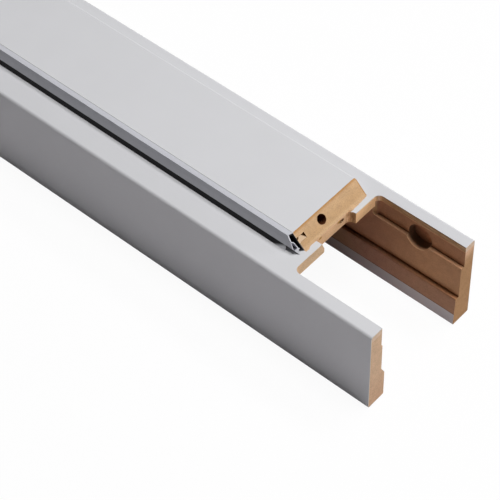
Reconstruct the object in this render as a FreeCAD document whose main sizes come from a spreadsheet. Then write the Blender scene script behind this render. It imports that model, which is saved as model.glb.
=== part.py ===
import FreeCAD, Part
import Sketcher
import math
import os
import re

# A door frame header: a lining board with a casing glued under each long edge, a door stop glued
# on its face and a seal pressed into the stop's kerf. Lengths are millimetres. X runs along the
# header, -Y is the side with the rebate, +Z is up, and the casings stand on z = 0.
# In the names, a reach is measured back from the header's front face, a rise up from the lining's
# face, and a width of the seal forward from the stop's front face.

SIZES = [
    ("header_length", 950.0),
    ("header_width", 101.0),
    ("casing_height", 70.0),
    ("lining_thickness", 9.5),
    ("lip_thickness", 4.7),
    ("front_web_thickness", 11.4),
    ("front_foot_thickness", 14.7),
    ("front_foot_height", 22.4),
    ("front_slope_height", 6.5),
    ("rear_web_thickness", 12.0),
    ("rear_foot_thickness", 15.0),
    ("rear_foot_flare", 0.9),
    ("rear_foot_height", 25.0),
    ("top_edge_radius", 2.0),
    ("foot_edge_radius", 1.0),
    ("notch_length", 68.9),
    ("notch_front_land", 10.3),
    ("notch_rear_land", 9.0),
    ("notch_cut_depth", 18.0),
    ("notch_corner_radius", 4.4),
    ("pocket_undercut", 2.0),
    ("pocket_corner_cut", 2.0),
    ("cutter_overrun", 10.0),
    ("recess_depth", 5.0),
    ("recess_front_reach", 39.4),
    ("recess_rear_reach", 70.0),
    ("recess_rear_radius", 4.5),
    ("nose_width", 2.3),
    ("nose_height", 5.8),
    ("nose_chamfer", 0.6),
    ("slot_reach", 58.0),
    ("slot_width", 5.5),
    ("slot_height", 2.4),
    ("slot_cover", 3.2),
    ("slot_length", 6.0),
    ("connector_radius", 9.0),
    ("connector_setback", 34.5),
    ("connector_drop", 15.2),
    ("connector_floor", 4.0),
    ("stop_reach", 26.3),
    ("stop_width", 60.0),
    ("stop_height", 9.6),
    ("stop_front_radius", 0.8),
    ("stop_rear_radius", 1.5),
    ("kerf_rise", 3.8),
    ("kerf_height", 2.8),
    ("kerf_depth", 6.9),
    ("dowel_hole_radius", 3.4),
    ("dowel_hole_reach", 49.0),
    ("dowel_hole_rise", 5.4),
    ("dowel_hole_depth", 14.0),
    ("seal_wall", 0.6),
    ("seal_back_rise", 9.4),
    ("seal_nose_width", 4.0),
    ("seal_nose_rise", 10.2),
    ("seal_fork_width", 5.0),
    ("seal_fork_rise", 6.9),
    ("seal_leg_width", 3.0),
    ("seal_leg_rise", 5.9),
    ("seal_heel_width", 2.5),
    ("seal_heel_rise", 2.3),
    ("seal_knee_width", 6.5),
    ("seal_knee_rise", 3.7),
    ("seal_toe_width", 4.3),
    ("seal_foot_rise", 0.1),
    ("chamber_floor_rise", 0.9),
    ("lip_width", 7.7),
    ("lip_wall", 0.9),
    ("lip_setback", 9.0),
    ("anchor_clearance", 0.1),
    ("anchor_mouth_gap", 0.9),
    ("anchor_shoulder", 0.9),
    ("anchor_crest", 3.9),
]

TOUCH = 0.001
MITRE_ANGLE = 45

doc = FreeCAD.newDocument("door_frame_header")
sheet = doc.addObject("Spreadsheet::Sheet", "Sizes")


def fill_sheet():
    """Write each size and its alias into the sheet."""
    for row, (name, value) in enumerate(SIZES, start=1):
        sheet.set(f"A{row}", name)
        sheet.set(f"B{row}", str(value))
        sheet.setAlias(f"B{row}", name)
    doc.recompute()


def bound(text):
    """Turn the size names in an expression into references to the sheet."""
    names = {name for name, value in SIZES}
    return re.sub(
        "[a-z_]+", lambda word: "Sizes." + word[0] if word[0] in names else word[0], text)


def new_body(name):
    body = doc.addObject("PartDesign::Body", name)
    body.Label = name
    return body


def origin_plane(body, role):
    planes = [feature for feature in body.Origin.OriginFeatures if feature.Role == role]
    return planes[0]


def new_sketch(body, name, role, offset="0"):
    """Make a sketch on an origin plane of the body, moved along the plane's normal."""
    sketch = body.newObject("Sketcher::SketchObject", name)
    sketch.AttachmentSupport = [(origin_plane(body, role), "")]
    sketch.MapMode = "FlatFace"
    sketch.setExpression(".AttachmentOffset.Base.z", bound(offset))
    return sketch


def place_point(sketch, element, point, across, up):
    """Hold one point of a sketch element at a pair of expressions."""
    for kind, text in (("DistanceX", across), ("DistanceY", up)):
        index = sketch.addConstraint(Sketcher.Constraint(kind, -1, 1, element, point, 1.0))
        sketch.setExpression(f"Constraints[{index}]", bound(text))


def add_outline(sketch, corners):
    """Draw a closed outline through corners that are pairs of expressions."""
    count = len(corners)
    first = sketch.GeometryCount
    turns = [2 * math.pi * number / count for number in range(count + 1)]
    ring = [FreeCAD.Vector(math.cos(turn), math.sin(turn), 0) for turn in turns]
    for number in range(count):
        sketch.addGeometry(Part.LineSegment(ring[number], ring[number + 1]), False)
    for number in range(count):
        follower = first + (number + 1) % count
        sketch.addConstraint(Sketcher.Constraint("Coincident", first + number, 2, follower, 1))
    for number, (across, up) in enumerate(corners):
        place_point(sketch, first + number, 1, across, up)


def add_circle(sketch, across, up, radius):
    circle = Part.Circle(FreeCAD.Vector(0, 0, 0), FreeCAD.Vector(0, 0, 1), 1.0)
    element = sketch.addGeometry(circle, False)
    place_point(sketch, element, 3, across, up)
    index = sketch.addConstraint(Sketcher.Constraint("Radius", element, 1.0))
    sketch.setExpression(f"Constraints[{index}]", bound(radius))


def pad_along(body, name, sketch, length):
    """Pad a sketch by the same amount to both sides of its plane."""
    pad = body.newObject("PartDesign::Pad", name)
    pad.Profile = sketch
    pad.SideType = "Symmetric"
    pad.setExpression("Length", bound(length))
    doc.recompute()
    return pad


def pocket_all(body, name, sketch, both_ways=False):
    """Cut a sketch along its normal, or to both sides, right through the body."""
    pocket = body.newObject("PartDesign::Pocket", name)
    pocket.Profile = sketch
    pocket.Type = "ThroughAll"
    pocket.SideType = "Symmetric" if both_ways else "One side"
    pocket.Reversed = not both_ways
    before = pocket.BaseFeature.Shape.Volume
    doc.recompute()
    if pocket.Shape.Volume > before - TOUCH:
        raise RuntimeError(name + " cuts nothing")
    return pocket


def round_corners(body, name, sketch, numbers, radius):
    """Fillet the long edges that stand on the given corners of a sketch."""
    flat = sketch.Placement.inverse()
    base = body.Tip
    chosen = []
    for index, edge in enumerate(base.Shape.Edges, start=1):
        ends = [flat.multVec(vertex.Point) for vertex in edge.Vertexes]
        for number in numbers:
            corner = sketch.Geometry[number].StartPoint
            if all(math.hypot(end.x - corner.x, end.y - corner.y) < TOUCH for end in ends):
                chosen.append(f"Edge{index}")
    fillet = body.newObject("PartDesign::Fillet", name)
    fillet.Base = (base, chosen)
    fillet.setExpression("Radius", bound(radius))
    doc.recompute()
    return fillet


def repeat_at_far_end(body, name, features):
    """Mirror features of the near end, at +X, to the far end."""
    mirror = body.newObject("PartDesign::Mirrored", name)
    mirror.Originals = features
    mirror.MirrorPlane = (origin_plane(body, "YZ_Plane"), [""])
    body.Tip = mirror
    doc.recompute()
    return mirror


def notch_cutters():
    """The shape that the end notches remove from the lining."""
    body = new_body("notch_cutter")
    sketch = new_sketch(body, "notch_plan", "XY_Plane", "casing_height - notch_cut_depth")
    end = "header_length / 2 + cutter_overrun"
    wall = "header_length / 2 - notch_length"
    recess = "header_length / 2 - notch_length - recess_depth"
    front = "notch_front_land - header_width / 2"
    rear = "header_width / 2 - notch_rear_land"
    recess_front = "recess_front_reach - header_width / 2"
    recess_rear = "recess_rear_reach - header_width / 2"
    add_outline(sketch, [
        (end, front), (end, rear), (wall, rear), (wall, recess_rear), (recess, recess_rear),
        (recess, recess_front), (wall, recess_front), (wall, front)])
    pad = body.newObject("PartDesign::Pad", "notch_block")
    pad.Profile = sketch
    pad.setExpression("Length", bound("notch_cut_depth + cutter_overrun"))
    doc.recompute()
    round_corners(body, "notch_corners", sketch, [2, 7], "notch_corner_radius")
    round_corners(body, "recess_rear_corner", sketch, [4], "recess_rear_radius")
    return at_both_ends(body)


def pocket_cutters():
    """The shape that the same notches remove from both casings. It reaches a little under the
    lining, and its lower inner corner is left full."""
    body = new_body("pocket_cutter")
    floor = "casing_height - notch_cut_depth"
    sketch = new_sketch(body, "pocket_plan", "XY_Plane", floor)
    end = "header_length / 2 + cutter_overrun"
    wall = "header_length / 2 - notch_length - pocket_undercut"
    front = "notch_front_land - header_width / 2"
    rear = "header_width / 2 - notch_rear_land"
    add_outline(sketch, [(end, front), (end, rear), (wall, rear), (wall, front)])
    pad = body.newObject("PartDesign::Pad", "pocket_block")
    pad.Profile = sketch
    pad.setExpression("Length", bound("notch_cut_depth"))
    doc.recompute()
    round_corners(body, "pocket_corners", sketch, [2, 3], "notch_corner_radius")
    corner = new_sketch(body, "pocket_foot", "XZ_Plane")
    add_outline(corner, [
        (wall, floor), (wall + " + pocket_corner_cut", floor),
        (wall, floor + " + pocket_corner_cut")])
    pocket_all(body, "pocket_feet", corner, both_ways=True)
    return at_both_ends(body)


def dowel_cutters():
    """The dowel holes, square to the stop's mitred ends and on into the lining."""
    drill = doc.addObject("Part::Cylinder", "dowel_cutter")
    down_and_back = FreeCAD.Rotation(FreeCAD.Vector(0, 1, 0), 180 + MITRE_ANGLE)
    drill.Placement = FreeCAD.Placement(FreeCAD.Vector(0, 0, 0), down_and_back)
    drill.setExpression("Radius", bound("dowel_hole_radius"))
    drill.setExpression("Height", bound("dowel_hole_depth + cutter_overrun"))
    centre = "header_length / 2 - notch_length - recess_depth - dowel_hole_rise"
    drill.setExpression("Placement.Base.x", bound(centre + " + cutter_overrun / sqrt(2)"))
    drill.setExpression("Placement.Base.y", bound("dowel_hole_reach - header_width / 2"))
    drill.setExpression(
        "Placement.Base.z",
        bound("casing_height + dowel_hole_rise + cutter_overrun / sqrt(2)"))
    doc.recompute()
    return at_both_ends(drill)


def at_both_ends(cutter):
    """Join a cutter of the near end with its mirror image at the far end."""
    far = doc.addObject("Part::Mirroring", cutter.Name + "_far")
    far.Source = cutter
    far.Normal = (1, 0, 0)
    both = doc.addObject("Part::MultiFuse", cutter.Name + "s")
    both.Shapes = [cutter, far]
    doc.recompute()
    return both


def cut_away(name, blank, cutters):
    cut = doc.addObject("Part::Cut", name)
    cut.Label = name
    cut.Base = blank
    cut.Tool = cutters
    before = blank.Shape.Volume
    doc.recompute()
    if cut.Shape.Volume > before - TOUCH:
        raise RuntimeError(name + " isn't cut")
    return cut


def lining_board(notches, dowel_holes):
    """Full width board, rebated below along both edges, so its lips cover the casings."""
    body = new_body("lining_blank")
    sketch = new_sketch(body, "lining_profile", "YZ_Plane")
    front = "0 - header_width / 2"
    rear = "header_width / 2"
    tongue_front = "front_web_thickness - header_width / 2"
    tongue_rear = "header_width / 2 - rear_web_thickness"
    lip = "casing_height - lip_thickness"
    bottom = "casing_height - lining_thickness"
    add_outline(sketch, [
        (front, "casing_height"), (front, lip), (tongue_front, lip), (tongue_front, bottom),
        (tongue_rear, bottom), (tongue_rear, lip), (rear, lip), (rear, "casing_height")])
    pad_along(body, "lining_length", sketch, "header_length")
    round_corners(body, "lining_edges", sketch, [0, 7], "top_edge_radius")
    recess = "header_length / 2 - notch_length - recess_depth"
    nose = new_sketch(body, "nose_section", "YZ_Plane", recess)
    tip = "recess_front_reach - header_width / 2"
    shoulder = "recess_front_reach - nose_width - header_width / 2"
    add_outline(nose, [
        (tip + " - nose_chamfer", bottom), (tip, bottom), (tip, bottom + " + nose_chamfer")])
    add_outline(nose, [
        (shoulder, "casing_height"), (tip, "casing_height"), (tip, "casing_height - nose_height")])
    nose_cut = pocket_all(body, "recess_nose", nose)
    slot = new_sketch(body, "slot_section", "YZ_Plane", recess + " - slot_length")
    slot_front = "slot_reach - header_width / 2"
    slot_rear = "slot_reach + slot_width - header_width / 2"
    slot_top = "casing_height - slot_cover"
    add_outline(slot, [
        (slot_front, slot_top), (slot_rear, slot_top), (slot_rear, slot_top + " - slot_height")])
    slot_cut = pocket_all(body, "end_slot", slot)
    repeat_at_far_end(body, "lining_far_end", [nose_cut, slot_cut])
    notched = cut_away("lining_notched", body, notches)
    return cut_away("lining_board", notched, dowel_holes)


def casing_blank(name, corners):
    """Casing of one side, made from the corners of its section: a web on a thicker foot."""
    body = new_body(name + "_blank")
    sketch = new_sketch(body, name + "_profile", "YZ_Plane")
    add_outline(sketch, corners)
    pad_along(body, name + "_length", sketch, "header_length")
    round_corners(body, name + "_foot_edges", sketch, [0, 5], "foot_edge_radius")
    return body


def front_casing(pockets):
    """The front casing's foot starts with a slope."""
    outer = "0 - header_width / 2"
    web = "front_web_thickness - header_width / 2"
    foot = "front_foot_thickness - header_width / 2"
    top = "casing_height - lip_thickness"
    blank = casing_blank("front_casing", [
        (outer, "0"), (outer, top), (web, top), (web, "front_foot_height + front_slope_height"),
        (foot, "front_foot_height"), (foot, "0")])
    return cut_away("front_casing", blank, pockets)


def rear_casing(pockets):
    """The rear casing has a square step, a foot that widens downwards, and a blind connector
    hole from inside near each end."""
    outer = "header_width / 2"
    web = "header_width / 2 - rear_web_thickness"
    foot = "header_width / 2 - rear_foot_thickness"
    top = "casing_height - lip_thickness"
    body = casing_blank("rear_casing", [
        (outer, "0"), (outer, top), (web, top), (web, "rear_foot_height"),
        (foot, "rear_foot_height"), (foot + " - rear_foot_flare", "0")])
    hole = new_sketch(
        body, "connector_section", "XZ_Plane", "connector_floor - header_width / 2")
    add_circle(
        hole, "header_length / 2 - connector_setback", "casing_height - connector_drop",
        "connector_radius")
    cut = pocket_all(body, "connector_hole", hole)
    repeat_at_far_end(body, "connector_holes", [cut])
    return cut_away("rear_casing", body, pockets)


def cut_mitre(body, name):
    """Cut the near end to a plane at 45 degrees that leans back from the lining's face."""
    sketch = new_sketch(body, name + "_section", "XZ_Plane")
    toe = "header_length / 2 - notch_length - recess_depth"
    crest = toe + " - stop_height - cutter_overrun"
    beyond = "header_length / 2 + cutter_overrun"
    top = "casing_height + stop_height + cutter_overrun"
    floor = "casing_height - cutter_overrun"
    add_outline(sketch, [
        (toe, "casing_height"), (crest, top), (beyond, top), (beyond, floor), (toe, floor)])
    return pocket_all(body, name, sketch, both_ways=True)


def door_stop(dowel_holes):
    """Block on the lining's face, kerfed along its front for the seal, with mitred ends."""
    body = new_body("stop_blank")
    sketch = new_sketch(body, "stop_profile", "YZ_Plane")
    front = "stop_reach - header_width / 2"
    rear = "stop_reach + stop_width - header_width / 2"
    top = "casing_height + stop_height"
    kerf_end = "stop_reach + kerf_depth - header_width / 2"
    kerf_low = "casing_height + kerf_rise"
    kerf_high = "casing_height + kerf_rise + kerf_height"
    add_outline(sketch, [
        (front, "casing_height"), (rear, "casing_height"), (rear, top), (front, top),
        (front, kerf_high), (kerf_end, kerf_high), (kerf_end, kerf_low), (front, kerf_low)])
    pad_along(body, "stop_length", sketch, "header_length")
    round_corners(body, "stop_rear_edge", sketch, [2], "stop_rear_radius")
    round_corners(body, "stop_front_edge", sketch, [3], "stop_front_radius")
    mitre = cut_mitre(body, "stop_mitre")
    repeat_at_far_end(body, "stop_far_end", [mitre])
    return cut_away("door_stop", body, dowel_holes)


def seal_point(width, rise):
    """A point of the seal's section, given as its width and its rise."""
    return (f"stop_reach - ({width}) - header_width / 2", "casing_height + " + rise)


def door_seal():
    """Hollow seal in front of the stop, on two legs, with a lip in front and a barb in the kerf."""
    body = new_body("door_seal")
    sketch = new_sketch(body, "seal_profile", "YZ_Plane")
    back = "stop_reach - header_width / 2"
    barb_low = "casing_height + kerf_rise + anchor_clearance"
    barb_high = "casing_height + kerf_rise + kerf_height - anchor_clearance"
    barb_mouth = "casing_height + kerf_rise + kerf_height - anchor_mouth_gap"
    barb_tip = "stop_reach + kerf_depth - anchor_clearance - header_width / 2"
    barb_crest = "stop_reach + anchor_crest - header_width / 2"
    shoulder = "stop_reach + anchor_shoulder - header_width / 2"
    shoulder_top = "stop_reach + 2 * anchor_shoulder - header_width / 2"
    add_outline(sketch, [
        (back, "casing_height + seal_back_rise"),
        seal_point("seal_nose_width", "seal_nose_rise"),
        seal_point("seal_fork_width", "seal_fork_rise"),
        seal_point("seal_knee_width", "seal_knee_rise"),
        seal_point("seal_toe_width", "seal_foot_rise"),
        seal_point("seal_heel_width", "seal_heel_rise"),
        (back, "casing_height + seal_foot_rise"),
        (back, barb_low),
        (barb_tip, barb_low),
        (barb_crest, barb_high),
        (shoulder_top, barb_high),
        (shoulder, barb_mouth),
        (back, barb_mouth)])
    add_outline(sketch, [
        seal_point("seal_wall", "seal_back_rise - seal_wall"),
        seal_point("seal_nose_width - seal_wall", "seal_nose_rise - seal_wall"),
        seal_point("seal_fork_width - seal_wall", "seal_fork_rise"),
        seal_point("seal_leg_width", "seal_leg_rise"),
        seal_point("seal_heel_width", "seal_heel_rise + seal_wall"),
        seal_point("seal_wall", "chamber_floor_rise")])
    add_outline(sketch, [
        seal_point("seal_fork_width - seal_wall / 2", "seal_fork_rise - 2 * seal_wall"),
        seal_point("seal_knee_width - seal_wall", "seal_knee_rise + seal_wall"),
        seal_point("seal_heel_width + 2 * seal_wall", "seal_heel_rise + seal_wall")])
    pad_along(body, "seal_length", sketch, "header_length")
    lip = new_sketch(body, "lip_profile", "YZ_Plane")
    add_outline(lip, [
        seal_point("seal_knee_width", "seal_knee_rise"),
        seal_point("lip_width", "seal_foot_rise"),
        seal_point("lip_width - lip_wall", "seal_foot_rise"),
        seal_point("seal_knee_width - lip_wall", "seal_knee_rise")])
    pad_along(
        body, "lip_length", lip,
        "header_length - 2 * (notch_length + recess_depth + lip_setback)")
    mitre = cut_mitre(body, "seal_mitre")
    repeat_at_far_end(body, "seal_far_end", [mitre])
    return body


def check_document():
    """Stop on any failed object, so that nothing is written from a broken model."""
    for item in doc.Objects:
        if "Invalid" in item.State or "Error" in item.State:
            raise RuntimeError(item.Name + " failed: " + str(item.State))


def write_nodes(nodes):
    """Write each sub-part to a file that has its label as its name."""
    for node in nodes:
        shape = node.Shape
        if shape.isNull() or not shape.isValid():
            raise RuntimeError(node.Label + " has no valid shape")
        print(node.Label, len(shape.Solids), round(shape.Volume), shape.BoundBox)
    os.makedirs("parts", exist_ok=True)
    for node in nodes:
        node.Shape.exportStep("parts/" + node.Label + ".step")


fill_sheet()
notches = notch_cutters()
pockets = pocket_cutters()
dowel_holes = dowel_cutters()
sub_parts = [
    lining_board(notches, dowel_holes),
    front_casing(pockets),
    rear_casing(pockets),
    door_stop(dowel_holes),
    door_seal()]
doc.recompute()
check_document()
write_nodes(sub_parts)
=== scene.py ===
from math import hypot, radians, sqrt

import bpy
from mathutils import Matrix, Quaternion, Vector


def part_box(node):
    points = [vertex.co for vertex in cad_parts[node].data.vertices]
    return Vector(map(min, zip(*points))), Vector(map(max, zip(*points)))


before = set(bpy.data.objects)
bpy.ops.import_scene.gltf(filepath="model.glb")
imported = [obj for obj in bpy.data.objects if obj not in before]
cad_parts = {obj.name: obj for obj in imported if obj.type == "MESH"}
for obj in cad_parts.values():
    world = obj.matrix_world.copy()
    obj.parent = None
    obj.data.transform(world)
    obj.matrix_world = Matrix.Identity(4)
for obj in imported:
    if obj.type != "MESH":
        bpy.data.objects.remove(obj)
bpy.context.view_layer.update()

# Lengths are in millimetres, in the frame of the CAD. Those of the lamps and the floor are in
# metres, which Blender works in.
MM = 0.001
X_AXIS, Y_AXIS, Z_AXIS = 0, 1, 2


def span(node, axis):
    """Lowest and highest place of a CAD node along one axis, in millimetres."""
    low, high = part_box(node)
    return low[axis] / MM, high[axis] / MM


# Faces and edges of the header. Its two ends mirror each other, so a place along it is given as a
# distance from its middle.
HALF_WIDTH = span("lining_board", Y_AXIS)[1]
LINING_TOP = span("lining_board", Z_AXIS)[1]
CASING_TOP = span("rear_casing", Z_AXIS)[1]
STOP_FRONT, STOP_REAR = span("door_stop", Y_AXIS)
STOP_TOP = span("door_stop", Z_AXIS)[1]
TOE = span("door_stop", X_AXIS)[1]
NOTCH_WALL = TOE + 5
NOTCH_LEDGE = 52
RECESS_FRONT = -11.1
RECESS_REAR = 19.5
REAR_STEP = 25
REAR_LAND = 41.5
REAR_WEB = 38.5
TOP_EDGE_RADIUS = 2
FOOT_EDGE_RADIUS = 1
STOP_EDGE_RADIUS = 1.5

CONNECTOR_PLACE = (440.5, 54.8)
CONNECTOR_RADIUS = 9
CONNECTOR_FLOOR = 46.5
DOWEL_MOUTH = (395.7, -1.5, 75.4)
DOWEL_RADIUS = 3.4

# Corners of the seal's section: how far each is in front of the stop and above the lining.
SEAL_BACK = (0, 9.4)
SEAL_NOSE = (4.0, 10.2)
SEAL_FORK = (5.0, 6.9)
SEAL_KNEE = (6.5, 3.7)
SEAL_TOE = (4.3, 0.1)
SEAL_HEEL = (2.5, 2.9)
SEAL_LEG = (3.0, 5.9)
SEAL_SLANT = (4.4, 6.9)

FOIL_GREY = (0.610, 0.610, 0.628)
FOIL_EDGE_WHITE = (0.62, 0.57, 0.51)
LINING_BOARD = (0.58, 0.385, 0.225)
FRONT_BOARD = (0.58, 0.40, 0.265)
REAR_BOARD = (0.47, 0.265, 0.150)
STOP_BOARD = (0.525, 0.342, 0.193)
SEAL_GREY = (0.475, 0.48, 0.515)
SEAL_BLACK = (0.005, 0.005, 0.006)
SEAL_CUT = (0.60, 0.60, 0.64)
SEAL_HOLLOW_SHADE = (0.05, 0.05, 0.07)
BARB_BEIGE = (0.60, 0.43, 0.28)
BARB_SHADE = (0.14, 0.075, 0.03)
LIP_SHADOW_GREY = (0.70, 0.70, 0.73)

# How far a mask goes beyond the face that it marks, so that it covers all of it.
SLACK = 0.1
# A face counts as facing one way where that part of its normal is above this.
FACING = 0.5


def scaled(colour, factor):
    return tuple(part * factor for part in colour)


class Graph:
    """One material, built a node at a time; a value is a number, a colour or another node's
    output. A mask is 1 where it applies and 0 elsewhere."""

    def __init__(self, name):
        self.material = bpy.data.materials.new(name)
        self.material.use_nodes = True
        self.tree = self.material.node_tree
        self.shader = self.tree.nodes["Principled BSDF"]
        coordinates = self.tree.nodes.new("ShaderNodeTexCoord")
        scale = self.tree.nodes.new("ShaderNodeVectorMath")
        scale.operation = "SCALE"
        scale.inputs["Scale"].default_value = 1 / MM
        self.tree.links.new(coordinates.outputs["Object"], scale.inputs[0])
        self.place = scale.outputs[0]
        x, self.y, self.z = self.separate(self.place)
        geometry = self.tree.nodes.new("ShaderNodeNewGeometry")
        facing_x, _, self.facing_z = self.separate(geometry.outputs["True Normal"])
        self.along = self.math("ABSOLUTE", x)
        self.across = self.math("ABSOLUTE", self.y)
        self.end_face = self.above(self.math("ABSOLUTE", facing_x), FACING, 0.05)
        self.long_face = self.outside(self.end_face)

    def put(self, value, socket):
        if isinstance(value, bpy.types.NodeSocket):
            self.tree.links.new(value, socket)
        elif isinstance(value, tuple):
            socket.default_value = (*value, 1)
        else:
            socket.default_value = value

    def separate(self, vector):
        node = self.tree.nodes.new("ShaderNodeSeparateXYZ")
        self.put(vector, node.inputs[0])
        return node.outputs[0], node.outputs[1], node.outputs[2]

    def math(self, operation, first, second=0.0):
        node = self.tree.nodes.new("ShaderNodeMath")
        node.operation = operation
        self.put(first, node.inputs[0])
        self.put(second, node.inputs[1])
        return node.outputs[0]

    def plus(self, first, second):
        return self.math("ADD", first, second)

    def minus(self, first, second):
        return self.math("SUBTRACT", first, second)

    def times(self, first, second):
        return self.math("MULTIPLY", first, second)

    def distance(self, *parts):
        """Length of a vector that is given by its parts."""
        total = 0.0
        for part in parts:
            total = self.plus(total, self.times(part, part))
        return self.math("SQRT", total)

    def above(self, value, limit, blur=0.02):
        """Mask where the value is above the limit, with a soft step as wide as 2 blurs."""
        node = self.tree.nodes.new("ShaderNodeMapRange")
        node.interpolation_type = "SMOOTHSTEP"
        self.put(value, node.inputs["Value"])
        self.put(limit - blur, node.inputs["From Min"])
        self.put(limit + blur, node.inputs["From Max"])
        return node.outputs[0]

    def below(self, value, limit, blur=0.02):
        return self.outside(self.above(value, limit, blur))

    def between(self, value, low, high, blur=0.02):
        return self.both(self.above(value, low, blur), self.below(value, high, blur))

    def outside(self, mask):
        return self.minus(1.0, mask)

    def both(self, *masks):
        """Mask where all the masks are 1."""
        result = masks[0]
        for mask in masks[1:]:
            result = self.times(result, mask)
        return result

    def either(self, *masks):
        """Mask where one or more of the masks is 1."""
        result = masks[0]
        for mask in masks[1:]:
            result = self.math("MAXIMUM", result, mask)
        return result

    def noise(self, size, detail=2.0, stretch=(1, 1, 1)):
        """Noise around 0.5 whose grains are about size millimetres across, times the stretch."""
        node = self.tree.nodes.new("ShaderNodeTexNoise")
        node.inputs["Scale"].default_value = 1 / size
        node.inputs["Detail"].default_value = detail
        stretched = self.tree.nodes.new("ShaderNodeVectorMath")
        stretched.operation = "DIVIDE"
        self.put(self.place, stretched.inputs[0])
        stretched.inputs[1].default_value = stretch
        self.put(stretched.outputs[0], node.inputs["Vector"])
        return node.outputs[0]

    def uneven(self, size, strength):
        """Noise around 0 with grains about size millimetres across."""
        return self.times(self.minus(self.noise(size), 0.5), strength)

    def mix(self, mask, first, second, kind="MIX"):
        """The first colour outside the mask and the second, or its mixture, inside it."""
        node = self.tree.nodes.new("ShaderNodeMix")
        node.data_type = "RGBA"
        node.blend_type = kind
        self.put(mask, node.inputs[0])
        self.put(first, node.inputs[6])
        self.put(second, node.inputs[7])
        return node.outputs[2]

    def tint(self, colour, factors, *masks):
        """The colour, times the factors where all the masks are 1."""
        return self.mix(self.both(*masks), colour, factors, "MULTIPLY")

    def blend(self, mask, first, second):
        """A number that is the first outside the mask and the second inside it."""
        node = self.tree.nodes.new("ShaderNodeMix")
        self.put(mask, node.inputs[0])
        self.put(first, node.inputs[2])
        self.put(second, node.inputs[3])
        return node.outputs[0]

    def bump(self, height, depth):
        """Relief whose height runs from 0 to depth millimetres."""
        node = self.tree.nodes.new("ShaderNodeBump")
        self.put(height, node.inputs["Height"])
        node.inputs["Distance"].default_value = depth * MM
        self.put(node.outputs[0], self.shader.inputs["Normal"])


# In the names below, a limit is a place and the blur of the step there, and a tint is what a mark
# multiplies the colour under it by.

PATCH_SIZE = 5
GRAIN_SIZE = 1.1
GRAIN_STRETCH = (2.5, 1.3, 0.8)
SPECK_SIZE = 0.7
SPECK_STRENGTH = 0.3


def raw_board(graph, tone):
    """Fibreboard where it is cut: grain and specks over slow patches."""
    patches = graph.above(graph.noise(PATCH_SIZE, detail=3.0), 0.5, 0.25)
    colour = graph.mix(patches, scaled(tone, 0.96), scaled(tone, 1.1))
    grain = graph.noise(GRAIN_SIZE, detail=3.0, stretch=GRAIN_STRETCH)
    dark_grain = graph.above(grain, 0.6, 0.12)
    specks = graph.noise(SPECK_SIZE)
    pale_specks = graph.below(specks, 0.42, 0.08)
    dark_specks = graph.above(specks, 0.6, 0.06)
    for mask, factor in ((dark_grain, 0.7), (pale_specks, 1.3), (dark_specks, 0.65)):
        colour = graph.mix(graph.both(mask, SPECK_STRENGTH), colour, scaled(tone, factor))
    return colour


FOIL_CLOUD_SIZE = 22
FOIL_RETURN = 10
FOIL_EDGE_LIMIT = (0.35, 0.08)
CHANNEL_SHADE_LIMIT = (425, 30)
LOW_FRONT_SHADE_LIMIT = (14, 20)
RETURN_SHADE_TINT = (0.82, 0.78, 0.8)
RETURN_CHANNEL_SHADE_TINT = (0.58, 0.55, 0.56)
LOW_FRONT_SHADE_TINT = (0.84, 0.84, 0.84)
SEAL_SIDE_HIGHLIGHT_TINT = (1.12, 1.12, 1.1)
REAR_STRIP_TINT = (0.965, 0.965, 0.965)


def foil_colour(graph):
    """Light grey foil, with painted shade where it is folded under a casing, more of it away from
    the ends, and low on the front, and a painted highlight along the stop's top edge by the seal.
    """
    clouds = graph.noise(FOIL_CLOUD_SIZE, detail=3.0)
    colour = graph.mix(clouds, scaled(FOIL_GREY, 0.98), scaled(FOIL_GREY, 1.02))
    returned = graph.both(
        graph.long_face, graph.below(graph.z, FOIL_RETURN),
        graph.below(graph.across, HALF_WIDTH - 5))
    # Painted shade on the foil folded under the foot, darker still away from the ends, deep in the
    # channel.
    colour = graph.tint(colour, RETURN_SHADE_TINT, returned)
    colour = graph.tint(
        colour, RETURN_CHANNEL_SHADE_TINT, returned, graph.below(graph.along, *CHANNEL_SHADE_LIMIT))
    # Painted shade low on the front face, where the floor in front lies in shadow.
    colour = graph.tint(
        colour, LOW_FRONT_SHADE_TINT, graph.below(graph.y, 0), graph.below(graph.z, *LOW_FRONT_SHADE_LIMIT))
    # Painted highlight along the stop's front top edge, beside the seal.
    colour = graph.tint(
        colour, SEAL_SIDE_HIGHLIGHT_TINT,
        graph.above(graph.z, STOP_TOP - 2), graph.below(graph.y, STOP_FRONT + 0.9, 0.3))
    return graph.tint(
        colour, REAR_STRIP_TINT,
        graph.above(graph.y, STOP_REAR - 0.9), graph.above(graph.z, LINING_TOP - 1))


RAW_ROUGHNESS = 0.9
FOIL_ROUGHNESS = 0.5
BOARD_SHINE = 0.04
FUZZ_SIZE = 0.5
FUZZ_DEPTH = 0.12
FILM_SIZE = 0.25
FILM_SHARE = 0.06


def foiled_board(name, tone, foil_mask, edge_mask, marks):
    """Fibreboard under light grey foil. The masks say where the foil and its cut edge show, and
    marks adds what else the raw board shows."""
    graph = Graph(name)
    foil = foil_mask(graph)
    edge = graph.both(graph.end_face, edge_mask(graph))
    raw = graph.mix(edge, marks(graph, raw_board(graph, tone)), FOIL_EDGE_WHITE)
    graph.put(graph.mix(foil, raw, foil_colour(graph)), graph.shader.inputs["Base Color"])
    roughness = graph.blend(foil, RAW_ROUGHNESS, FOIL_ROUGHNESS)
    graph.put(roughness, graph.shader.inputs["Roughness"])
    graph.shader.inputs["Specular IOR Level"].default_value = BOARD_SHINE
    fuzz = graph.noise(FUZZ_SIZE, detail=3.0)
    film = graph.times(graph.noise(FILM_SIZE, detail=1.0), FILM_SHARE)
    graph.bump(graph.blend(foil, fuzz, film), FUZZ_DEPTH)
    return graph.material


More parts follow.
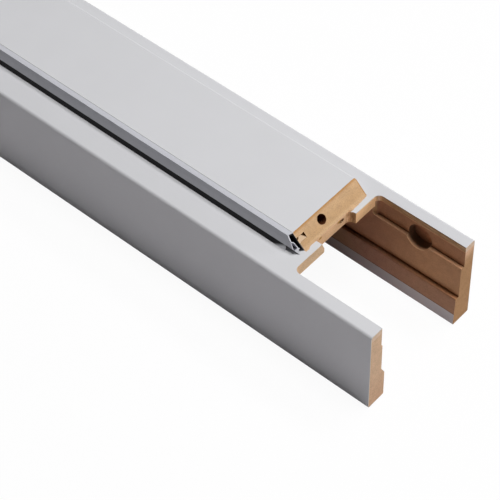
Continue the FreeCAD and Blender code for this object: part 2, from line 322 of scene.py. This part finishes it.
def depth_at_round(graph, corner_y, corner_z, rise, radius):
    """Depth in from a skin that goes round a corner; rise is -1 where the skin is below it."""
    past_y = graph.math("MAXIMUM", graph.minus(graph.across, corner_y), 0.0)
    past_z = graph.math("MAXIMUM", graph.times(graph.minus(graph.z, corner_z), rise), 0.0)
    return graph.minus(radius, graph.distance(past_y, past_z))


CHIP_REAR = STOP_REAR + 0.6
CHIP_RAGGED_SIZE = 1.2
CHIP_RAGGED_WIDTH = 0.9
CHIP_FRONT_SLOPE = 0.055
CHIP_REAR_SLOPE = 0.045
CHIP_REAR_WIDTH = 1.7
CHIP_CORNER_SLOPE = 0.5
FRONT_CHIP_LIMIT = (STOP_FRONT + 4, 1.5)
FRONT_CHIP_WIDTH = 1.3


def chipped_foil(graph):
    """The strip in front of the stop's toe where the router has taken the foil off."""
    ragged = graph.uneven(CHIP_RAGGED_SIZE, CHIP_RAGGED_WIDTH)
    front_slant = graph.times(graph.minus(graph.y, STOP_FRONT), CHIP_FRONT_SLOPE)
    chip = graph.times(graph.below(graph.y, *FRONT_CHIP_LIMIT), FRONT_CHIP_WIDTH)
    front_width = graph.plus(graph.plus(front_slant, ragged), chip)
    rear_slant = graph.plus(
        graph.times(graph.minus(RECESS_REAR, graph.y), CHIP_REAR_SLOPE), CHIP_REAR_WIDTH)
    rear_corner = graph.times(graph.minus(CHIP_REAR, graph.y), CHIP_CORNER_SLOPE)
    rear_width = graph.plus(graph.math("MINIMUM", rear_slant, rear_corner), ragged)
    width = graph.blend(graph.above(graph.y, 0.0), front_width, rear_width)
    return graph.both(
        graph.above(graph.along, TOE - 0.05),
        graph.below(graph.minus(graph.along, width), TOE, 0.1),
        graph.between(graph.y, STOP_FRONT, CHIP_REAR))


def lining_foil(graph):
    top = graph.both(
        graph.above(graph.facing_z, FACING, 0.1), graph.above(graph.z, LINING_TOP - SLACK))
    edge = graph.above(graph.across, HALF_WIDTH - TOP_EDGE_RADIUS - SLACK)
    return graph.both(
        graph.long_face, graph.either(top, edge), graph.outside(chipped_foil(graph)))


def lining_foil_edge(graph):
    depth = depth_at_round(
        graph, HALF_WIDTH - TOP_EDGE_RADIUS, LINING_TOP - TOP_EDGE_RADIUS, 1, TOP_EDGE_RADIUS)
    beyond_recess = graph.above(graph.along, NOTCH_WALL - 0.5)
    return graph.both(graph.below(depth, *FOIL_EDGE_LIMIT), beyond_recess)


PIT_DEPTH = 0.3
PIT_FLATNESS = 0.7
PIT_RAGGED_SIZE = 1.0
PIT_RAGGED_WIDTH = 2.5
PIT_BLUR = 0.4


def pitted(graph, colour, y, z, size, factors):
    """A torn spot in the recess's wall, in front of the stop's toe."""
    near_wall = graph.below(graph.math("ABSOLUTE", graph.minus(graph.along, TOE)), PIT_DEPTH)
    away = graph.distance(
        graph.times(graph.minus(graph.y, y), PIT_FLATNESS), graph.minus(graph.z, z),
        graph.uneven(PIT_RAGGED_SIZE, PIT_RAGGED_WIDTH))
    return graph.tint(colour, factors, near_wall, graph.below(away, size, PIT_BLUR))


BORE_SHADE_TINT = (0.22, 0.11, 0.08)
DRILLED_LOWEST = LINING_TOP - 8


def dowel_bore(graph, colour):
    """The hole, drilled square to the mitre, that goes through the stop into the lining, darkened
    inside with painted shade.
    """
    x, y, z = DOWEL_MOUTH
    sideways = graph.minus(graph.y, y)
    down_slope = graph.times(
        graph.minus(graph.minus(graph.along, x), graph.minus(graph.z, z)), 1 / sqrt(2))
    # Painted shade inside the bore.
    return graph.tint(
        colour, BORE_SHADE_TINT,
        graph.below(graph.distance(sideways, down_slope), DOWEL_RADIUS + 0.05),
        graph.above(graph.z, DRILLED_LOWEST))


RECESS_TINT = (1.26, 1.24, 1.24)
LINING_JOINT_TINT = (1.08, 1.12, 1.2)
ARC_LENGTH = 5
ARC_STREAK_SIZE = 0.9
ARC_STREAK_STRETCH = (1, 1, 6)
ARC_TINT = (1.4, 1.45, 1.5)
ARC_STREAK_TINT = (0.62, 0.52, 0.42)
SCUFF_TINT = (0.66, 0.55, 0.3)
GOUGE_TINT = (0.16, 0.08, 0.04)


def recess_marks(graph, colour):
    """The recess that the stop's toe stands over: pale under the toe, streaked in its corner."""
    recess = graph.both(graph.below(graph.along, NOTCH_WALL - 0.5), graph.end_face)
    colour = graph.tint(colour, RECESS_TINT, recess)
    colour = graph.tint(
        colour, LINING_JOINT_TINT, recess, graph.above(graph.z, LINING_TOP - 1.3, 0.4))
    streaks = graph.noise(ARC_STREAK_SIZE, detail=3.0, stretch=ARC_STREAK_STRETCH)
    arc = graph.both(
        graph.between(graph.along, TOE + 0.02, NOTCH_WALL + 0.3, 0.3),
        graph.between(graph.y, RECESS_REAR - ARC_LENGTH, RECESS_REAR + SLACK, 0.6))
    colour = graph.tint(colour, ARC_TINT, arc, graph.below(graph.y, RECESS_REAR - 1.8, 1.5))
    colour = graph.tint(colour, ARC_STREAK_TINT, arc, graph.above(streaks, 0.45, 0.15))
    colour = pitted(graph, colour, y=-8.9, z=68.1, size=1.0, factors=SCUFF_TINT)
    colour = pitted(graph, colour, y=9.0, z=67.4, size=1.2, factors=SCUFF_TINT)
    return pitted(graph, colour, y=11.6, z=66.4, size=1.5, factors=GOUGE_TINT)


REAR_WALL_LIGHT_TINT = (1.7, 1.65, 1.5)
FRONT_WALL_TINT = (1.15, 1.26, 1.4)
CORNER_LIGHT_TINT = (1.15, 1.1, 1.05)
LAYER_SIZE = 0.8
LAYER_STRETCH = (12, 1, 1)
LAYER_TINT = (0.72, 0.66, 0.6)
UNDER_FOIL_SHADOW_TINT = (0.45, 0.48, 0.6)
PRONG_END_TINT = (1.04, 1.18, 1.48)


def lining_marks(graph, colour):
    """What the raw edges of the lining show: the recess, the notch's walls with painted light on
    the rear one and in the corner, a painted shadow under the foil, and the prong's end.
    """
    colour = recess_marks(graph, colour)
    wall = graph.between(graph.along, NOTCH_WALL - 0.3, NOTCH_WALL + 0.5)
    # Painted light on the rear part of the notch wall, which the rear casing shades.
    colour = graph.tint(colour, REAR_WALL_LIGHT_TINT, graph.above(graph.y, RECESS_REAR), wall)
    colour = graph.tint(
        colour, FRONT_WALL_TINT,
        graph.end_face, graph.below(graph.y, RECESS_FRONT + SLACK), wall)
    # Painted light in the pocket's corner, as a rounded corner would catch it.
    colour = graph.tint(
        colour, CORNER_LIGHT_TINT,
        graph.below(graph.along, NOTCH_WALL + 4, 1.5), graph.above(graph.y, REAR_LAND - 2.5, 1))
    land = graph.both(
        graph.long_face, graph.above(graph.y, REAR_LAND - SLACK),
        graph.above(graph.along, NOTCH_WALL + 5, 4))
    layers = graph.noise(LAYER_SIZE, detail=3.0, stretch=LAYER_STRETCH)
    colour = graph.tint(colour, LAYER_TINT, land, graph.above(layers, 0.45, 0.12))
    # Painted shadow on the land just under the foil's edge.
    colour = graph.tint(
        colour, UNDER_FOIL_SHADOW_TINT, land, graph.above(graph.z, LINING_TOP - 0.6, 0.2))
    colour = graph.tint(
        colour, PRONG_END_TINT, graph.end_face, graph.above(graph.along, NOTCH_WALL + 1))
    return dowel_bore(graph, colour)


def casing_foil(graph):
    outer = graph.above(graph.across, HALF_WIDTH - SLACK)
    foot = graph.below(graph.z, FOIL_RETURN, 0.05)
    return graph.both(graph.long_face, graph.either(outer, foot))


def casing_foil_edge(graph):
    depth = depth_at_round(
        graph, HALF_WIDTH - FOOT_EDGE_RADIUS, FOOT_EDGE_RADIUS, -1, FOOT_EDGE_RADIUS)
    return graph.below(depth, *FOIL_EDGE_LIMIT)


FRONT_END_SHADE_LIMIT = (22, 15)
GLUE_TINT = (1.5, 1.5, 1.5)
FOIL_END_TINT = (0.5, 0.45, 0.42)
FRONT_END_SHADE_TINT = (0.92, 0.87, 0.86)


def casing_marks(graph, colour):
    """Glue line under the lining, a dark line just above where the foil ends, and painted shade low
    on the front end.
    """
    colour = graph.tint(
        colour, GLUE_TINT, graph.long_face, graph.above(graph.z, CASING_TOP - 0.45, 0.12))
    colour = graph.tint(
        colour, FOIL_END_TINT,
        graph.long_face, graph.between(graph.z, FOIL_RETURN, FOIL_RETURN + 0.6, 0.1))
    # Painted shade on the end face, darker towards the bottom.
    return graph.tint(
        colour, FRONT_END_SHADE_TINT,
        graph.end_face, graph.below(graph.y, 0), graph.below(graph.z, *FRONT_END_SHADE_LIMIT))


LEDGE_CORNER_SHADE_LIMIT = (1.5, 1.5)
LEDGE_CORNER_DEEP_SHADE_LIMIT = (0.4, 0.3)
LEDGE_CORNER_SHADE_TINT = (0.7, 0.62, 0.55)
LEDGE_CORNER_DEEP_SHADE_TINT = (0.4, 0.32, 0.26)
LEDGE_SHADE_TINT = (0.6, 0.6, 0.6)
LEDGE_HIGHLIGHT_TINT = (1.16, 1.14, 1.12)


def shaded_ledge(graph, colour, height, wall, reach, lit_front, place):
    """A ledge of the rear casing, with painted shade round its inner corner, reach times as far
    across the ledge as up its wall, painted shade on the ledge where lit_front is 0, and a painted
    highlight along its front where lit_front is 1."""
    inner = graph.both(place, graph.long_face)
    corner = graph.distance(
        graph.minus(graph.z, height), graph.times(graph.minus(graph.y, wall), 1 / reach))
    # Painted shade round the ledge's inner corner, darkest right in it.
    colour = graph.tint(colour, LEDGE_CORNER_SHADE_TINT, inner, graph.below(corner, *LEDGE_CORNER_SHADE_LIMIT))
    colour = graph.tint(colour, LEDGE_CORNER_DEEP_SHADE_TINT, inner, graph.below(corner, *LEDGE_CORNER_DEEP_SHADE_LIMIT))
    ledge = graph.both(inner, graph.above(graph.facing_z, FACING))
    # Painted shade on the ledge, and a painted highlight along its front edge.
    colour = graph.tint(colour, LEDGE_SHADE_TINT, ledge, graph.outside(lit_front))
    return graph.tint(colour, LEDGE_HIGHLIGHT_TINT, ledge, lit_front, graph.below(graph.y, wall - 1.0, 0.6))


MOUTH_LIMIT = (REAR_WEB + 1.4, 2.2)
LIT_FLOOR_LIMIT = (-4.0, 10.0)
LIT_FLOOR_TINT = (1.15, 1.0, 1.0)
SHADED_FLOOR_TINT = (0.5, 0.42, 0.4)


def connector_hole(graph, colour):
    """The connector hole: walls with painted shade, paler at the mouth with painted light, and a
    floor that has painted shade on the side away from the header's end and its top and painted
    light towards them."""
    right = graph.minus(graph.along, CONNECTOR_PLACE[0])
    up = graph.minus(graph.z, CONNECTOR_PLACE[1])
    hole = graph.both(
        graph.below(graph.distance(right, up), CONNECTOR_RADIUS + SLACK),
        graph.below(graph.y, CONNECTOR_FLOOR + 0.5))
    floor = graph.above(graph.y, CONNECTOR_FLOOR - SLACK)
    mouth = graph.below(graph.y, *MOUTH_LIMIT)
    # Painted shade on the walls deeper in, and painted light at the mouth.
    wall = graph.mix(mouth, scaled(REAR_BOARD, 0.4), scaled(REAR_BOARD, 1.35))
    colour = graph.mix(graph.both(hole, graph.outside(floor)), colour, wall)
    # Painted light on the floor towards the header's end and its top, and painted shade on the
    # other side.
    lit_side = graph.above(graph.plus(right, up), *LIT_FLOOR_LIMIT)
    colour = graph.tint(colour, LIT_FLOOR_TINT, hole, floor, lit_side)
    return graph.tint(colour, SHADED_FLOOR_TINT, hole, floor, graph.outside(lit_side))


UNDER_LINING_SHADE_LIMIT = (385, 30)
LAND_LIMIT = (430, 25)
LEDGE_LIT_LIMIT = (452, 22)
LOW_END_SHADE_LIMIT = (62, 5)
HIGH_END_LIGHT_LIMIT = (58, 8)
NOTCH_LEDGE_REACH = 0.75
REAR_STEP_REACH = 3
FOOT_TINT = (0.8, 0.82, 0.95)
CHANNEL_SHADE_TINT = (0.72, 0.68, 0.78)
UNDER_LINING_SHADE_TINT = (0.85, 1.1, 0.9)
LAND_TINT = (0.89, 0.81, 0.81)
LOW_END_SHADE_TINT = (0.78, 0.79, 0.7)
HIGH_END_LIGHT_TINT = (1.34, 1.47, 1.7)


def rear_marks(graph, colour):
    """What the rear casing shows inside, with painted shade away from its ends and under the
    lining, and at its ends, with painted shade low down and painted light high up.
    """
    colour = casing_marks(graph, colour)
    foot = graph.both(graph.long_face, graph.below(graph.z, REAR_STEP - 0.05))
    colour = graph.tint(colour, FOOT_TINT, foot)
    on_ledge = graph.both(
        graph.above(graph.facing_z, FACING), graph.above(graph.z, NOTCH_LEDGE - 1))
    # Painted shade on the inner faces, ledges apart, away from the end, where the channel is
    # shaded.
    colour = graph.tint(
        colour, CHANNEL_SHADE_TINT,
        graph.long_face, graph.outside(on_ledge), graph.below(graph.along, *CHANNEL_SHADE_LIMIT))
    # Painted shade, with an olive cast, on the foot under the lining.
    colour = graph.tint(
        colour, UNDER_LINING_SHADE_TINT, foot, graph.below(graph.along, *UNDER_LINING_SHADE_LIMIT))
    colour = graph.tint(
        colour, LAND_TINT, graph.long_face,
        graph.above(graph.z, NOTCH_LEDGE + 1), graph.above(graph.along, *LAND_LIMIT))
    everywhere = 1.0
    in_notch = graph.above(graph.along, NOTCH_WALL + 1)
    near_end = graph.above(graph.along, *LEDGE_LIT_LIMIT)
    colour = shaded_ledge(
        graph, colour, NOTCH_LEDGE, REAR_LAND, NOTCH_LEDGE_REACH, everywhere, in_notch)
    colour = shaded_ledge(
        graph, colour, REAR_STEP, REAR_WEB, REAR_STEP_REACH, near_end, everywhere)
    # Painted shade on the end face, darker towards the bottom.
    colour = graph.tint(
        colour, LOW_END_SHADE_TINT, graph.end_face, graph.below(graph.z, *LOW_END_SHADE_LIMIT))
    # Painted light on the end face, lighter and paler towards the top.
    colour = graph.tint(
        colour, HIGH_END_LIGHT_TINT, graph.end_face, graph.above(graph.z, *HIGH_END_LIGHT_LIMIT))
    return connector_hole(graph, colour)


# The foil's top face on the stop takes in the rounded edges, which tilt away from it.
STOP_TOP_FACING = 0.15
STOP_EDGE_STRENGTH = 0.3


def stop_foil(graph):
    top = graph.both(
        graph.above(graph.facing_z, STOP_TOP_FACING), graph.above(graph.z, STOP_TOP - 1.6))
    front = graph.below(graph.y, STOP_FRONT + 0.85)
    rear = graph.above(graph.y, STOP_REAR - STOP_EDGE_RADIUS - SLACK)
    return graph.both(graph.long_face, graph.either(top, front, rear))


def stop_foil_edge(graph):
    return graph.both(graph.below(graph.y, STOP_FRONT + 0.5, 0.1), STOP_EDGE_STRENGTH)


LOW_MITRE_LIMIT = (LINING_TOP + 5.5, 3)
KERF_DEPTH = 7
KERF_FLOOR = LINING_TOP + 3.7
KERF_ROOF = LINING_TOP + 6.7
SCORCH_TINT = (0.82, 0.66, 0.45)
LOW_MITRE_TINT = (0.95, 0.93, 0.88)
STOP_JOINT_TINT = (1.1, 1.14, 1.22)
TORN_TINT = (0.3, 0.22, 0.17)
KERF_SHADE_TINT = (0.35, 0.2, 0.09)


def stop_marks(graph, colour):
    """The mitre, scorched round its edge, pale at the joint and torn in front; painted shade in the
    kerf and the bore.
    """
    scorched = graph.either(
        graph.above(graph.z, STOP_TOP - 0.9, 0.8), graph.above(graph.y, STOP_REAR - 0.6, 0.5))
    colour = graph.tint(colour, SCORCH_TINT, graph.end_face, scorched)
    colour = graph.tint(
        colour, LOW_MITRE_TINT, graph.end_face, graph.below(graph.z, *LOW_MITRE_LIMIT))
    colour = graph.tint(
        colour, STOP_JOINT_TINT, graph.end_face, graph.below(graph.z, LINING_TOP + 1.3, 0.4))
    colour = graph.tint(
        colour, TORN_TINT, graph.end_face,
        graph.below(graph.y, STOP_FRONT + 0.4, 0.3), graph.below(graph.z, LINING_TOP + 6, 1))
    # Painted shade in the kerf.
    colour = graph.tint(
        colour, KERF_SHADE_TINT,
        graph.long_face, graph.between(graph.y, STOP_FRONT + 0.9, STOP_FRONT + KERF_DEPTH),
        graph.between(graph.z, KERF_FLOOR, KERF_ROOF))
    return dowel_bore(graph, colour)


class SealSection:
    """Distances in the seal's section: forward from the stop, up from the lining, and to the right
    of a line from one corner to another."""

    def __init__(self, graph):
        self.graph = graph
        self.width = graph.minus(STOP_FRONT, graph.y)
        self.rise = graph.minus(graph.z, LINING_TOP)

    def right_of(self, start, end):
        forward, upward = end[0] - start[0], end[1] - start[1]
        length = hypot(forward, upward)
        graph = self.graph
        return graph.minus(
            graph.times(graph.minus(self.width, start[0]), upward / length),
            graph.times(graph.minus(self.rise, start[1]), forward / length))


LEG_REAR_LIMIT = (0.45, 0.1)
LEG_FRONT_LIMIT = (0.3, 0.1)
LEG_FLOOR_LIMIT = (3.0, 0.4)


def leg_hollow(graph, section):
    """The space inside the seal's leg."""
    return graph.both(
        graph.above(section.right_of(SEAL_HEEL, SEAL_LEG), *LEG_REAR_LIMIT),
        graph.above(section.right_of(SEAL_LEG, SEAL_SLANT), *LEG_REAR_LIMIT),
        graph.above(section.right_of(SEAL_FORK, SEAL_KNEE), *LEG_FRONT_LIMIT),
        graph.above(section.rise, *LEG_FLOOR_LIMIT))


BACK_DEPTH = 0.75
HEEL_DEPTH = 2.1
HEEL_HEIGHT = 2.2
ROOF_DEPTH = 0.98
FRONT_SKIN_LIMIT = (0.72, 0.1)
TOE_SHADE_LIMIT = (3.0, 0.8)
TOE_SHADE_TINT = (0.7, 0.7, 0.7)


def cut_end_marks(graph, section, colour):
    """On the seal's cut end, the back, the heel and the roof are black and the toe has painted
    shade.
    """
    back = graph.below(section.width, BACK_DEPTH)
    heel = graph.both(
        graph.below(section.width, HEEL_DEPTH), graph.below(section.rise, HEEL_HEIGHT))
    roof = graph.both(
        graph.below(section.right_of(SEAL_BACK, SEAL_NOSE), ROOF_DEPTH),
        graph.above(section.right_of(SEAL_NOSE, SEAL_FORK), *FRONT_SKIN_LIMIT))
    black = graph.both(graph.end_face, graph.either(back, heel, roof))
    colour = graph.mix(black, colour, SEAL_BLACK)
    # Painted shade on the toe of the cut end.
    return graph.tint(
        colour, TOE_SHADE_TINT, graph.end_face,
        graph.below(section.rise, *TOE_SHADE_LIMIT), graph.above(section.width, SEAL_HEEL[0]))


SKIN_INSIDE = 0.4
LIP_SHADOW_FROM = 384
LIP_SHADOW_SLOPE = 0.45
LIP_SHADOW_HEIGHT = 3.0
LIP_SHADOW_BLUR = 1.4


def inside_and_lip(graph, section, colour):
    """The seal is black inside and on its lip. Low on the lip near its end, a grey painted shadow
    stands for the lining in soft shadow.
    """
    inside = graph.both(
        graph.long_face,
        graph.above(section.width, SKIN_INSIDE),
        graph.above(section.right_of(SEAL_BACK, SEAL_NOSE), SKIN_INSIDE),
        graph.above(section.right_of(SEAL_NOSE, SEAL_FORK), SKIN_INSIDE))
    past_leg = section.right_of(SEAL_TOE, SEAL_KNEE)
    lip = graph.above(past_leg, 0.05)
    colour = graph.mix(graph.either(inside, lip), colour, SEAL_BLACK)
    # Painted shadow: low on the lip near its end, a grey that stands for the lining in soft shadow.
    shadow_height = graph.math(
        "MINIMUM", graph.times(graph.minus(graph.along, LIP_SHADOW_FROM), LIP_SHADOW_SLOPE),
        LIP_SHADOW_HEIGHT)
    lip_shadow = graph.both(
        graph.long_face, graph.above(past_leg, -0.05),
        graph.below(graph.minus(section.rise, shadow_height), 0.0, LIP_SHADOW_BLUR))
    return graph.mix(lip_shadow, colour, LIP_SHADOW_GREY)


SEAL_CLOUD_SIZE = 2.5
SEAL_ROUGHNESS = 0.6
SEAL_SHINE = 0.15
SEAL_GRAIN_SIZE = 0.4
SEAL_GRAIN_DEPTH = 0.02


def seal_material():
    """Grey seal with a pale cut end; its barb, in the kerf, is beige."""
    graph = Graph("grey_seal")
    section = SealSection(graph)
    clouds = graph.noise(SEAL_CLOUD_SIZE)
    skin = graph.mix(clouds, scaled(SEAL_GREY, 0.95), scaled(SEAL_GREY, 1.05))
    colour = graph.mix(graph.end_face, skin, SEAL_CUT)
    # Painted shade in the hollow of the seal's leg.
    colour = graph.mix(leg_hollow(graph, section), colour, SEAL_HOLLOW_SHADE)
    colour = cut_end_marks(graph, section, colour)
    colour = inside_and_lip(graph, section, colour)
    barb = graph.mix(graph.end_face, BARB_SHADE, BARB_BEIGE)
    colour = graph.mix(graph.below(section.width, -0.05), colour, barb)
    graph.put(colour, graph.shader.inputs["Base Color"])
    graph.shader.inputs["Roughness"].default_value = SEAL_ROUGHNESS
    graph.shader.inputs["Specular IOR Level"].default_value = SEAL_SHINE
    graph.bump(graph.noise(SEAL_GRAIN_SIZE), SEAL_GRAIN_DEPTH)
    return graph.material


def dress(node, material):
    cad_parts[node].material_slots[0].material = material


def seen_directly(tree, share):
    """The share for rays from the camera, and for those that a shiny or clear surface sends on."""
    path = tree.nodes.new("ShaderNodeLightPath")
    result = path.outputs["Is Camera Ray"]
    for ray in ("Is Glossy Ray", "Is Transmission Ray"):
        joined = tree.nodes.new("ShaderNodeMath")
        joined.operation = "MAXIMUM"
        tree.links.new(result, joined.inputs[0])
        tree.links.new(path.outputs[ray], joined.inputs[1])
        result = joined.outputs[0]
    part = tree.nodes.new("ShaderNodeMath")
    part.operation = "MULTIPLY"
    tree.links.new(result, part.inputs[0])
    part.inputs[1].default_value = share
    return part.outputs[0]


FLOOR_REACH = 3.0
FLOOR_COLOUR = (0.85, 0.83, 0.85, 1)
FLOOR_ROUGHNESS = 0.9
FLOOR_WHITENESS = 0.95


def floor():
    """A pale floor that is white to the camera and keeps a faint shadow."""
    mesh = bpy.data.meshes.new("floor")
    corners = [
        (-FLOOR_REACH, -FLOOR_REACH, 0), (FLOOR_REACH, -FLOOR_REACH, 0),
        (FLOOR_REACH, FLOOR_REACH, 0), (-FLOOR_REACH, FLOOR_REACH, 0)]
    mesh.from_pydata(corners, [], [(0, 1, 2, 3)])
    ground = bpy.data.objects.new("floor", mesh)
    bpy.context.scene.collection.objects.link(ground)
    material = bpy.data.materials.new("pale_floor")
    material.use_nodes = True
    tree = material.node_tree
    shader = tree.nodes["Principled BSDF"]
    shader.inputs["Base Color"].default_value = FLOOR_COLOUR
    shader.inputs["Roughness"].default_value = FLOOR_ROUGHNESS
    white = tree.nodes.new("ShaderNodeEmission")
    blend = tree.nodes.new("ShaderNodeMixShader")
    tree.links.new(seen_directly(tree, FLOOR_WHITENESS), blend.inputs[0])
    tree.links.new(shader.outputs[0], blend.inputs[1])
    tree.links.new(white.outputs[0], blend.inputs[2])
    tree.links.new(blend.outputs[0], tree.nodes["Material Output"].inputs["Surface"])
    mesh.materials.append(material)


WORLD_FILL = 0.05


def surroundings():
    """A world that is white to the camera and a weak fill on the object."""
    world = bpy.data.worlds.new("studio")
    bpy.context.scene.world = world
    world.use_nodes = True
    tree = world.node_tree
    background = tree.nodes["Background"]
    background.inputs["Color"].default_value = (1, 1, 1, 1)
    strength = tree.nodes.new("ShaderNodeMix")
    tree.links.new(seen_directly(tree, 1.0), strength.inputs[0])
    strength.inputs[2].default_value = WORLD_FILL
    strength.inputs[3].default_value = 1.0
    tree.links.new(strength.outputs[0], background.inputs["Strength"])


def lamp(name, place, target, length, width, power):
    """A soft rectangular lamp that faces its target; places and sizes are in metres."""
    light = bpy.data.lights.new(name, "AREA")
    light.shape = "RECTANGLE"
    light.size = length
    light.size_y = width
    light.energy = power
    holder = bpy.data.objects.new(name, light)
    holder.location = place
    holder.rotation_euler = (Vector(target) - Vector(place)).to_track_quat("-Z", "Y").to_euler()
    bpy.context.scene.collection.objects.link(holder)


CAMERA_PLACE = (908.3, -628.8, 1009.5)
CAMERA_TARGET = (375.3, -45.4, 70.0)
CAMERA_ROLL = radians(-1.58)
CAMERA_SENSOR = 36
CAMERA_LENS = 144.26


def camera():
    """The photo's view, solved from the edges of the object in it."""
    data = bpy.data.cameras.new("photo_view")
    data.sensor_width = CAMERA_SENSOR
    data.lens = CAMERA_LENS
    holder = bpy.data.objects.new("photo_view", data)
    holder.location = Vector(CAMERA_PLACE) * MM
    sight = Vector(CAMERA_TARGET) - Vector(CAMERA_PLACE)
    holder.rotation_mode = "QUATERNION"
    holder.rotation_quaternion = (
        sight.to_track_quat("-Z", "Y") @ Quaternion((0, 0, 1), CAMERA_ROLL))
    bpy.context.scene.collection.objects.link(holder)
    bpy.context.scene.camera = holder


camera()
floor()
surroundings()
lamp("key", (0.75, 0.20, 2.07), target=(0.75, 0, 0), length=1.0, width=0.35, power=25.4)
lamp("back", (0.75, 1.0, 2.0), target=(0.75, 0, 0), length=1.0, width=0.35, power=22)
lamp("near_fill", (1.54, 0.76, 0.25), target=(0.45, 0, 0.04), length=0.3, width=0.3, power=5.2)
lamp("far_fill", (-1.54, 0.76, 0.25), target=(-0.45, 0, 0.04), length=0.3, width=0.3, power=7)
bpy.context.scene.view_settings.view_transform = "Standard"

dress("lining_board", foiled_board(
    "foiled_lining", LINING_BOARD, lining_foil, lining_foil_edge, lining_marks))
dress("front_casing", foiled_board(
    "foiled_front_casing", FRONT_BOARD, casing_foil, casing_foil_edge, casing_marks))
dress("rear_casing", foiled_board(
    "foiled_rear_casing", REAR_BOARD, casing_foil, casing_foil_edge, rear_marks))
dress("door_stop", foiled_board(
    "foiled_stop", STOP_BOARD, stop_foil, stop_foil_edge, stop_marks))
dress("door_seal", seal_material())
